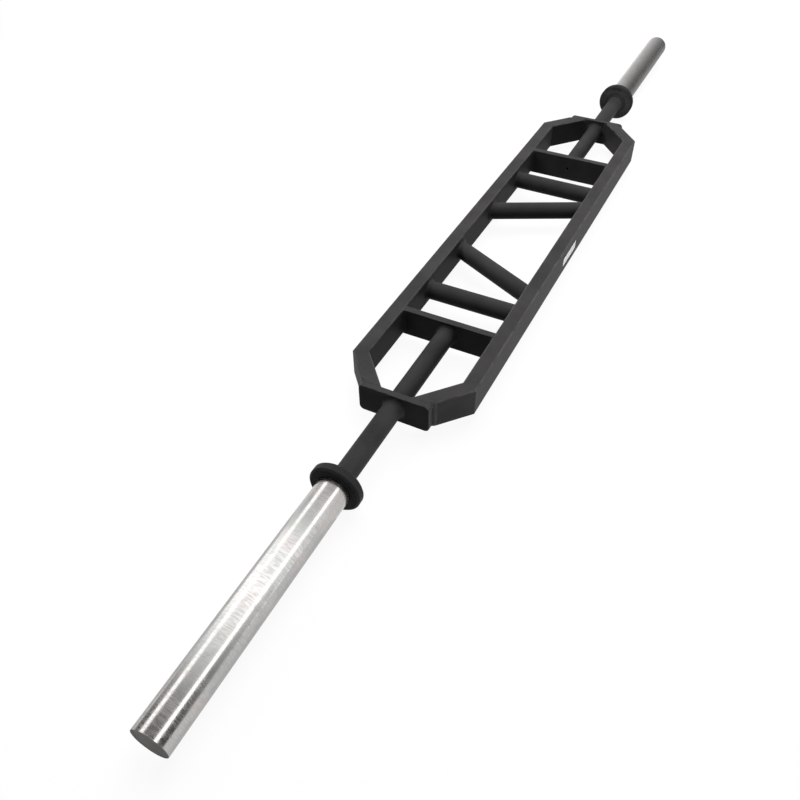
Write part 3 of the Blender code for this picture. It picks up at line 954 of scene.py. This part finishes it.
@dataclass
class Ends(Assembly):
    """Shaft, collar, sleeve and end cap of each end."""

    axis_radius: float = 0.004
    seat_gap: float = 0.0003
    groove_depth: float = 0.0012
    groove_width: float = 0.0021
    groove_edge: float = 0.0001
    shaft_edges: tuple = (0.0004, 0.001)
    collar_chamfer: float = 0.003
    collar_edge: float = 0.0012
    recess_depth: float = 0.002
    recess_clearance: float = 0.0006
    recess_edges: tuple = (0.0004, 0.0002)
    bore: float = 0.020
    bore_edge: float = 0.0003
    washer_room: float = 0.0223
    washer_depth: float = 0.0016
    sleeve_edge: float = 0.0010
    spigot_edge: float = 0.0008
    cap_edge: float = 0.0005
    segments: int = 128
    sleeve_segments: int = 192

    def turn(self, name: str, corners: Array, segments: int, solid: bool) -> Piece:
        """A ring or a solid rod turned about the bar's axis.

        Each point of the softened profile runs round a circle: y is its radius times the cosine
        of the angle, and z its radius times the sine.

        Args:
            name: of the piece.
            corners: the profile's, as in softened.
            segments: round the axis.
            solid: whether it is a rod, closed by a fan at each end.

        Returns:
            The new object.
        """
        profile = softened(corners)
        angle = np.linspace(0.0, FULL_TURN, segments, endpoint=False)
        along = np.broadcast_to(profile[:, :1], (len(profile), segments))
        grid = np.stack([along, profile[:, 1:] * np.cos(angle), profile[:, 1:] * np.sin(angle)], -1)
        return put_surface(name, grid, closed_rows=not solid)

    def profiles(self, side: Side) -> dict[str, list]:
        """The corners of the four profiles, with places counted from the middle of the bar.

        The shaft is a rod with a soft outer end and a groove for its ring, the collar a thick
        disc with chamfers, recessed round the sleeve, the sleeve a long tube with soft rims,
        bored for its bushes and washer, and the cap a faced disc with a spigot in the sleeve.

        Args:
            side: the end of the bar.

        Returns:
            The corners by the piece's name, as in softened.
        """
        start, far = span(side.node("cross_plate"))[1], span(side.node("shaft"))[1]
        groove = span(side.node("retaining_ring"))[0] - self.seat_gap
        groove_end, floor = groove + self.groove_width, SHAFT_RADIUS - self.groove_depth
        shaft = [(start, self.axis_radius, 0.0), (start, SHAFT_RADIUS, self.shaft_edges[0]),
                 (groove, SHAFT_RADIUS, self.groove_edge), (groove, floor, 0.0),
                 (groove_end, floor, 0.0), (groove_end, SHAFT_RADIUS, self.groove_edge),
                 (far, SHAFT_RADIUS, self.shaft_edges[1]), (far, self.axis_radius, 0.0)]
        near, far = span(side.node("collar"))
        radius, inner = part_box(side.node("collar"))[1].z, SHAFT_RADIUS - self.seat_gap
        recess, floor = SLEEVE_RADIUS + self.recess_clearance, far - self.recess_depth
        chamfer, soft = self.collar_chamfer, self.collar_edge
        collar = [(near, inner, 0.0), (near, radius - chamfer, soft), (near + chamfer, radius, soft),
                  (far - chamfer, radius, soft), (far, radius - chamfer, soft),
                  (far, recess, self.recess_edges[0]), (floor, recess, self.recess_edges[1]),
                  (floor, inner, 0.0)]
        near, seat = span(side.node("sleeve"))
        radius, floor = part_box(side.node("sleeve"))[1].z, near + self.washer_depth
        sleeve = [(near, self.washer_room, self.bore_edge), (near, radius, self.sleeve_edge),
                  (seat, radius, 0.0), (seat, self.bore, self.bore_edge), (floor, self.bore, 0.0),
                  (floor, self.washer_room, 0.0)]
        near, far = span(side.node("end_cap"))
        radius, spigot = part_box(side.node("end_cap"))[1].z, self.bore - self.seat_gap
        cap = [(near, self.axis_radius, 0.0), (near, spigot, self.spigot_edge), (seat, spigot, 0.0),
               (seat, radius, 0.0), (far, radius, self.cap_edge), (far, self.axis_radius, 0.0)]
        return {"turned_shaft": shaft, "chamfered_collar": collar, "ground_sleeve": sleeve,
                "faced_end_cap": cap}

    def build(self) -> None:
        """Builds both ends, the left one mirrored; sleeve and cap ride on the turning body."""
        for side in Side:
            spins = side.node("sleeve_assembly")
            kinds = (("shaft", Slot.SHAFT, "frame", self.segments, True),
                     ("collar", Slot.COLLAR, "frame", self.segments, False),
                     ("sleeve", Slot.SLEEVE, spins, self.sleeve_segments, False),
                     ("end_cap", Slot.CAP, spins, self.sleeve_segments, True))
            for (name, corners), (part, slot, body, *form) in zip(self.profiles(side).items(), kinds):
                made = self.turn(side.node(name), np.array(corners) * [side.value, 1.0, 1.0], *form)
                self.dress(made, slot, side.node(part), body=body)


@dataclass
class Welds(Assembly):
    """The weld beads, painted over with the frame."""

    leg: float = 0.0038
    plate_leg: float = 0.0048
    collar_leg: float = 0.0100
    corner_legs: tuple = (0.0045, 0.0022)
    corner_margins: tuple = (0.0014, 0.0050)
    plate_margin: float = 0.0012
    collar_ripples: float = 0.2
    sink: float = 0.0005
    ripple: float = 0.05
    pitch: float = 0.0045
    hollow: float = 0.30
    ring_steps: int = 144
    seam_steps: int = 60
    skin_points: int = 8
    least_leg: float = 0.01
    sharp: float = 50.0

    def section(self, foot: Array, out: Array, along: Array, leg: Array) -> Array:
        """The bead's section at each step of its path.

        From a point a leg out along one face, the bead's skin follows a curve of the second
        degree to a point a leg along the other face. Its control point lies a little off the
        foot, which makes it hollow. Behind the skin the section sinks into both pieces.

        Args:
            foot: where the two faces meet, by step.
            out: unit direction along the first face, by step.
            along: unit direction along the second face, by step.
            leg: length of the legs, by step.

        Returns:
            Points by step, place in the section and axis.
        """
        leg = leg[:, None]
        start, end = foot + out * leg, foot + along * leg
        control = foot + (out + along) * leg * self.hollow
        share = np.linspace(0.0, 1.0, self.skin_points)[None, :, None]
        skin = (start[:, None] * (1 - share) ** 2 + control[:, None] * 2 * share * (1 - share)
                + end[:, None] * share ** 2)
        inside = [start - along * self.sink, end - out * self.sink, foot - (out + along) * self.sink]
        return np.concatenate([inside[0][:, None], skin, inside[1][:, None], inside[2][:, None]], 1)

    def ring(self, name: str, centre: Array, axis: Array, normal: Array, radius: float,
             leg: float, ripples: float = 1.0) -> Piece:
        """A bead round a rod that stands on a plane.

        Round the rod, the foot is the rod's surface point slid along the axis until it lies in
        the plane. Ripples lengthen and shorten the legs by a cosine of the angle.

        Args:
            name: of the piece.
            centre: where the rod's axis meets the plane.
            axis: unit direction of the rod, away from the plane.
            normal: unit normal of the plane on the rod's side.
            radius: of the rod.
            leg: of the bead.
            ripples: how strong the ripples are.

        Returns:
            The new object.
        """
        angle = np.linspace(0.0, FULL_TURN, self.ring_steps, endpoint=False)[:, None]
        level = np.cross(axis, [0.0, 0.0, 1.0])
        level = level / np.linalg.norm(level)
        upright = np.cross(level, axis)
        radial = level * np.cos(angle) + upright * np.sin(angle)
        foot = centre + radial * radius
        foot = foot - axis * ((foot - centre) @ normal / (axis @ normal))[:, None]
        out = radial - normal * (radial @ normal)[:, None]
        out = out / np.linalg.norm(out, axis=1, keepdims=True)
        count = round(FULL_TURN * radius / self.pitch)
        legs = leg * (1 + self.ripple * ripples * np.cos(count * angle[:, 0]))
        along = np.broadcast_to(axis, foot.shape)
        return put_surface(name, self.section(foot, out, along, legs), closed_rows=True, sharp=self.sharp)

    def seam(self, name: str, start: Array, end: Array, out: Array, along: Array,
             leg: float) -> Piece:
        """A straight bead in the corner between two faces.

        Its foot runs from start to end. Near both ends the legs shrink as the square root of the
        distance to the end, which is counted in legs and never taken as less than least_leg.
        Along the seam they carry ripples by a cosine of the distance.

        Args:
            name: of the piece.
            start: first end of the joint.
            end: last end of the joint.
            out: unit direction along the first face.
            along: unit direction along the second face.
            leg: of the bead.

        Returns:
            The new object.
        """
        length = float(np.linalg.norm(end - start))
        share = (1 - np.cos(np.linspace(0.0, math.pi, self.seam_steps))) / 2
        foot = start + (end - start) * share[:, None]
        rounded = np.sqrt(np.clip(np.minimum(share, 1 - share) * length / leg, self.least_leg, 1.0))
        legs = leg * rounded * (1 + self.ripple * np.cos(FULL_TURN * share * length / self.pitch))
        out, along = np.broadcast_to(out, foot.shape), np.broadcast_to(along, foot.shape)
        return put_surface(name, self.section(foot, out, along, legs), sharp=self.sharp)

    def build(self) -> None:
        """Builds every bead that shows."""
        for side in Side:
            for edge in Edge:
                self.rail_beads(side, edge)
                self.corner_seams(side, edge)
            self.shaft_rings(side)

    def rail_beads(self, side: Side, edge: Edge) -> None:
        """The beads on a rail: a ring round each handle and two upright seams at the cross plate.

        Args:
            side: the end of the bar.
            edge: the rail's side.
        """
        low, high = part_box("back_rail")
        way, hand = float(side.value), float(edge.value)
        wall = np.array([0.0, -hand, 0.0])
        for part, tilt in HANDLE_TILTS.items():
            lean = np.array([-math.sin(tilt * way), math.cos(tilt * way), 0.0])
            centre = np.array([middle_x(side.node(part)), 0.0, 0.0]) + lean * hand * low.y / lean[1]
            name = side.node(f"{part}_{edge.node('weld')}")
            self.dress(self.ring(name, centre, -lean * hand, wall, HANDLE_RADIUS, self.leg), Slot.FRAME)
        near, far = span(side.node("cross_plate"))
        for place, facing, word in ((near, -way, "inner"), (far, way, "outer")):
            start = np.array([place * way, low.y * hand, -high.z + self.plate_margin])
            name = side.node(f"cross_plate_{edge.node(word)}_weld")
            self.dress(self.seam(name, start, start * [1, 1, -1], wall, np.array([facing, 0.0, 0.0]),
                                 self.plate_leg), Slot.FRAME)

    def corner_seams(self, side: Side, edge: Edge) -> None:
        """The upright beads where a corner tube meets the end plate, inside and outside.

        Args:
            side: the end of the bar.
            edge: the tube's side.
        """
        way, hand = float(side.value), float(edge.value)
        node = edge.node(side.node("corner_tube"))
        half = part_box("back_rail")[1].z
        plate, inner_end = span(node)[1], span(node, 1)[0]
        outer_end = inner_end + TUBE_WIDTH / math.cos(CORNER_TUBE_ANGLE)
        tube = np.array([-math.cos(CORNER_TUBE_ANGLE) * way, math.sin(CORNER_TUBE_ANGLE) * hand, 0.0])
        ends = ((inner_end, -hand, "inner"), (outer_end, hand, "outer"))
        for (place, face, word), leg, margin in zip(ends, self.corner_legs, self.corner_margins):
            start = np.array([plate * way, place * hand, -half + margin])
            name = edge.node(side.node(f"end_plate_{word}_weld"))
            out = np.array([0.0, face, 0.0])
            self.dress(self.seam(name, start, start * [1, 1, -1], out, tube, leg), Slot.FRAME)

    def shaft_rings(self, side: Side) -> None:
        """The beads round a shaft, at the cross plate, both faces of the end plate and the collar.

        Args:
            side: the end of the bar.
        """
        way = np.array([float(side.value), 0.0, 0.0])
        places = [("cross_plate", 1, self.leg, "cross_plate_shaft_weld", 1.0, Slot.FRAME),
                  ("end_plate", 0, self.leg, "end_plate_shaft_inner_weld", 1.0, Slot.FRAME),
                  ("end_plate", 1, self.leg, "end_plate_shaft_outer_weld", 1.0, Slot.FRAME),
                  # The collar's bead takes the collar's darker paint, painted shade included.
                  ("collar", 0, self.collar_leg, "collar_shaft_weld", self.collar_ripples, Slot.COLLAR)]
        for part, which, leg, name, ripples, slot in places:
            face = span(side.node(part))[which]
            axis = way if which else -way
            self.dress(self.ring(side.node(name), way * face, axis, axis, SHAFT_RADIUS, leg, ripples), slot)


@dataclass
class Label(Assembly):
    """The blank sticker on the front rail's outer face."""

    corner: float = 0.0015
    least_corner: float = 0.0004
    edge_insets: tuple = (0.0, 0.0, 0.0001, 0.0006)
    middle_gap: float = 0.0012
    heights: tuple = (0.0, 0.6, 0.95, 1.0, 0.9, 0.92)
    sharp: float = 60.0

    def build(self) -> None:
        """Builds the sticker as rings of its outline, drawn in step by step towards the middle.

        The outermost ring lies on the rail, and the rings inside it near the film's full height.
        """
        low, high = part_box("blank_label")
        width, height = high.x - low.x, high.z - low.z
        insets = [*self.edge_insets, height / 4, height / 2 - self.middle_gap]
        rows = [outline_of_tube(width - 2 * inset, height - 2 * inset,
                                max(self.corner - inset, self.least_corner)) for inset in insets]
        depth = high.y - (high.y - low.y) * np.array(self.heights)
        grid = np.stack([np.column_stack([row[:, 0], np.full(len(row), y), row[:, 1]])
                         for row, y in zip(rows, depth)])
        self.dress(put_surface("blank_sticker", grid, sharp=self.sharp), Slot.LABEL, "blank_label")


@dataclass
class HiddenParts(Assembly):
    """Inner parts that keep their CAD shape and get a real finish."""

    parts: dict = field(default_factory=lambda: {
        "inner_bush": Slot.BUSH, "outer_bush": Slot.BUSH, "thrust_washer": Slot.WASHER,
        "retaining_washer": Slot.WASHER, "retaining_ring": Slot.SPRING})

    def build(self) -> None:
        """Sets the material of each kept node."""
        for node, slot in ((side.node(part), slot) for side in Side for part, slot in self.parts.items()):
            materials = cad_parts[node].data.materials
            materials.clear()
            materials.append(self.materials[slot])
            log.info("dressed %s", node)


@dataclass(frozen=True)
class Lamp:
    """A soft lamp: its middle, the point it faces, its length along the bar and width, its watts."""

    name: str
    place: tuple
    aim: tuple
    size: tuple
    power: float


@dataclass(frozen=True)
class Band:
    """A long screen: degrees about the bar's axis from the front over the top, half width, levels by x."""

    name: str
    angle: float
    half_width: float
    stops: tuple


@dataclass(frozen=True)
class Card:
    """A flat upright or level screen: its lowest and highest corner, and its levels by y."""

    name: str
    low: tuple
    high: tuple
    stops: tuple


@dataclass
class Studio:
    """White floor, soft lamps, screens that the steel mirrors, and the camera.

    The camera's lens and sensor are in millimetres. A level of light is a multiple of plain
    white, and a stop is a place in metres with the level there.
    """

    place: tuple = (-1.22205, -0.39322, 0.82578)
    azimuth: float = 0.48628
    elevation: float = -0.77716
    roll: float = -0.01813
    lens: float = 35.418
    sensor: float = 36.0
    clip: tuple = (0.01, 100.0)
    floor_size: float = 40.0
    floor_points: int = 9
    floor_glow: float = 0.93
    floor_bounce: float = 0.15
    floor_fade: tuple = (1.0, 2.2)
    floor_clouds: Speckle = Speckle(3.0)
    floor_grey: tuple = (0.93, 0.93, 0.93, 1.0)
    floor_white: tuple = (0.97, 0.97, 0.97, 1.0)
    world_level: float = 0.045
    tent_radius: float = 1.65
    tent_points: int = 33
    tent_stops: tuple = ((-3.0, 0.12), (-0.70, 0.12), (-0.55, 0.55), (-0.32, 1.98), (-0.08, 2.60),
                         (0.10, 1.05), (0.28, 0.50), (0.60, 0.95))
    band_radius: float = 1.50
    lamps: tuple = (
        Lamp("back_strip", (-0.30, 1.05, 1.10), (-0.30, 0.0, 0.0), (1.5, 0.46), 11.0),
        Lamp("front_low_strip", (-0.25, -1.9, -0.007), (-0.25, 0.0, -0.007), (2.0, 0.06), 34.0),
        Lamp("overhead", (1.1, 0.0, 2.2), (0.6, 0.0, 0.0), (3.2, 1.9), 110.0))
    bands: tuple = (
        Band("back_band", 133.5, 0.29, ((-3.0, 1.9), (-0.72, 2.1), (-0.45, 2.6), (1.2, 2.2))),
        Band("front_band", 48.5, 0.21, ((-3.0, 3.3), (-0.72, 3.3), (-0.30, 3.0), (1.2, 2.8))),
        Band("front_low_screen", 20.0, 0.48, ((-3.0, 0.05), (-0.70, 0.05), (-0.49, 0.50), (-0.30, 1.00),
                                              (-0.09, 1.70), (0.13, 0.95), (1.2, 0.60))))
    cards: tuple = (
        Card("far_card", (5.0, -4.0, 0.0), (5.0, 4.0, 6.0), ((-1.9, 0.15), (1.9, 0.82))),
        Card("far_floor_card", (0.70, -1.5, -0.037), (4.9, 0.0, -0.037), ((-0.3, 0.16), (0.0, 0.45))),
        # The near floor card's dip below the floor's level under the near sleeve is painted shade of the
        # floor there, seen in the steel.
        Card("near_floor_card", (-1.06, -0.3, -0.037), (-0.69, 0.3, -0.037),
             ((-0.3, 1.06), (-0.08, 0.97), (-0.01, 0.62), (0.06, 0.64), (0.3, 0.96))))

    def camera(self) -> None:
        """Makes the camera from its place, its direction and its roll."""
        az, el = self.azimuth, self.elevation
        ahead = np.array([math.cos(el) * math.cos(az), math.cos(el) * math.sin(az), math.sin(el)])
        right = np.cross(ahead, [0.0, 0.0, 1.0])
        right = right / np.linalg.norm(right)
        down = np.cross(ahead, right)
        rolled_right = right * math.cos(self.roll) - down * math.sin(self.roll)
        rolled_down = right * math.sin(self.roll) + down * math.cos(self.roll)
        turn = Matrix(np.column_stack([rolled_right, -rolled_down, -ahead]).tolist())
        data = bpy.data.cameras.new("camera")
        data.sensor_width, data.lens = self.sensor, self.lens
        data.clip_start, data.clip_end = self.clip
        camera = bpy.data.objects.new("camera", data)
        camera.matrix_world = Matrix.Translation(self.place) @ turn.to_4x4()
        bpy.context.scene.collection.objects.link(camera)
        bpy.context.scene.camera = camera

    @staticmethod
    def background_rays(graph: Graph) -> Number:
        """Tells rays from the camera and rays seen in metal or through glass from the others.

        Args:
            graph: of a world or a material.

        Returns:
            One for such a ray, else zero.
        """
        path = graph.node("ShaderNodeLightPath").outputs
        seen = Number(graph, path["Is Camera Ray"]).most(Number(graph, path["Is Glossy Ray"]))
        return seen.most(Number(graph, path["Is Transmission Ray"]))

    @staticmethod
    def staged(name: str, points: Array, material: bpy.types.Material) -> Piece:
        """Adds a piece of the studio, which isn't part of the bar.

        Args:
            name: of the piece.
            points: by row, column and axis; each face lies between four neighbours.
            material: of the piece.

        Returns:
            The new object.
        """
        index = np.arange(points[..., 0].size).reshape(points.shape[:2])
        faces = np.stack([index[:-1, :-1], index[:-1, 1:], index[1:, 1:], index[1:, :-1]], -1)
        mesh = bpy.data.meshes.new(name)
        mesh.from_pydata(points.reshape(-1, 3).tolist(), [], faces.reshape(-1, 4).tolist())
        mesh.materials.append(material)
        made = bpy.data.objects.new(name, mesh)
        bpy.context.scene.collection.objects.link(made)
        return made

    def floor(self) -> None:
        """A wide pale floor under the collars, whose white glow leaves room for a faint shadow."""
        material = bpy.data.materials.new("floor_white")
        graph = Graph(material)
        pale = graph.mixed(graph.noise(self.floor_clouds), self.floor_grey, self.floor_white)
        seen = self.background_rays(graph)
        colour = graph.mixed(seen, (self.floor_bounce,) * 3 + (1.0,), pale)
        lit = graph.node("ShaderNodeBsdfDiffuse", None, {"Color": colour}).outputs[0]
        glow = graph.node("ShaderNodeEmission", None, {"Strength": 1.0}).outputs[0]
        far = graph.level(graph.distance(), *self.floor_fade)
        share = seen * (far * (1.0 - self.floor_glow) + self.floor_glow)
        mixed = graph.node("ShaderNodeMixShader", None, {0: share, 1: lit, 2: glow}).outputs[0]
        graph.node("ShaderNodeOutputMaterial", None, {"Surface": mixed})
        place = np.linspace(-self.floor_size / 2, self.floor_size / 2, self.floor_points)
        x, y = np.meshgrid(place, place)
        points = np.stack([x, y, np.full(x.shape, CAD_BOX[0].z)], -1)
        self.staged("floor", points, material)

    def world(self) -> None:
        """White where the background shows, and a plain dim level for the light that it gives."""
        world = bpy.data.worlds.new("world")
        graph = Graph(world)
        strength = self.background_rays(graph) * (1.0 - self.world_level) + self.world_level
        back = graph.node("ShaderNodeBackground", None, {"Color": WHITE, "Strength": strength}).outputs[0]
        graph.node("ShaderNodeOutputWorld", None, {"Surface": back})
        bpy.context.scene.world = world

    @staticmethod
    def light(lamp: Lamp) -> None:
        """Puts up a lamp, which the screens stand for in reflections.

        Args:
            lamp: its place, aim, size and power.
        """
        data = bpy.data.lights.new(lamp.name, "AREA")
        data.shape, data.size, data.size_y, data.energy = "RECTANGLE", *lamp.size, lamp.power
        made = bpy.data.objects.new(lamp.name, data)
        ahead = (Vector(lamp.aim) - Vector(lamp.place)).normalized()
        side = Vector((1.0, 0.0, 0.0))
        side = (side - ahead * side.dot(ahead)).normalized()
        turn = Matrix((side, (-ahead).cross(side), -ahead)).transposed()
        made.matrix_world = Matrix.Translation(lamp.place) @ turn.to_4x4()
        made.visible_glossy = False
        bpy.context.scene.collection.objects.link(made)

    def screen(self, name: str, points: Array, axis: str, stops: tuple) -> None:
        """A screen that only shows in the bar's reflections.

        Args:
            name: of the screen.
            points: a grid of points.
            axis: along which its level changes.
            stops: places along the axis in metres, each with the level there.
        """
        material = bpy.data.materials.new(name)
        graph = Graph(material)
        parts = graph.node("ShaderNodeSeparateXYZ", None, {"Vector": graph.place()}).outputs
        first, length = stops[0][0], stops[-1][0] - stops[0][0]
        top = max(level for _, level in stops)
        ramp = graph.node(
            "ShaderNodeValToRGB",
            {"stops": [((place - first) / length, level / top) for place, level in stops]},
            {"Fac": (Number(graph, parts[axis]) - first) * (1.0 / length)})
        glow = graph.node("ShaderNodeEmission", None, {"Color": ramp.outputs["Color"], "Strength": top})
        graph.node("ShaderNodeOutputMaterial", None, {"Surface": glow.outputs[0]})
        made = self.staged(name, points, material)
        made.visible_camera = made.visible_diffuse = made.visible_shadow = False

    def tent(self) -> None:
        """A half-round screen over the bar, dim at the near end and bright beside the camera.

        Its points lie at the tent's radius round the bar's axis: y is less the radius times the
        cosine of an angle from 0 to 180 degrees, and z the radius times its sine.
        """
        angle = np.linspace(0.0, math.pi, self.tent_points)
        x, turn = np.meshgrid([self.tent_stops[0][0], self.tent_stops[-1][0]], angle)
        points = np.stack([x, -self.tent_radius * np.cos(turn), self.tent_radius * np.sin(turn)], -1)
        self.screen("tent", points, "X", self.tent_stops)

    def band(self, band: Band) -> None:
        """A flat strip under the tent, square to its ray from the axis: one bright band in the steel.

        Args:
            band: its angle, half width and levels.
        """
        turn = math.radians(band.angle)
        middle = self.band_radius * np.array([-math.cos(turn), math.sin(turn)])
        across = band.half_width * np.array([math.sin(turn), math.cos(turn)])
        points = [[(x, *(middle + across * way)) for x in (band.stops[0][0], band.stops[-1][0])]
                  for way in (1, -1)]
        self.screen(band.name, np.array(points), "X", band.stops)

    def card(self, card: Card) -> None:
        """A rectangle between two corners, which share one of their three places.

        Args:
            card: its corners and levels.
        """
        low, high = np.array(card.low), np.array(card.high)
        first = np.arange(3) == np.flatnonzero(low != high)[0]
        points = [[low, np.where(first, high, low)], [np.where(first, low, high), high]]
        self.screen(card.name, np.array(points), "Y", card.stops)

    def build(self) -> None:
        """Sets up everything round the bar."""
        self.camera()
        self.floor()
        self.world()
        for lamp in self.lamps:
            self.light(lamp)
        self.tent()
        for band in self.bands:
            self.band(band)
        for card in self.cards:
            self.card(card)
        bpy.context.scene.view_settings.view_transform = "Standard"


def main() -> None:
    """Builds the bar's looks in order, then the studio."""
    logging.basicConfig(level=logging.INFO, format="%(message)s")
    materials = {slot: finish.material() for slot, finish in FINISHES.items()}
    for kind in (TubeFrame, Plates, Handles, Ends, Welds, Label, HiddenParts):
        kind(materials).build()
    Studio().build()


if __name__ == "__main__":
    main()
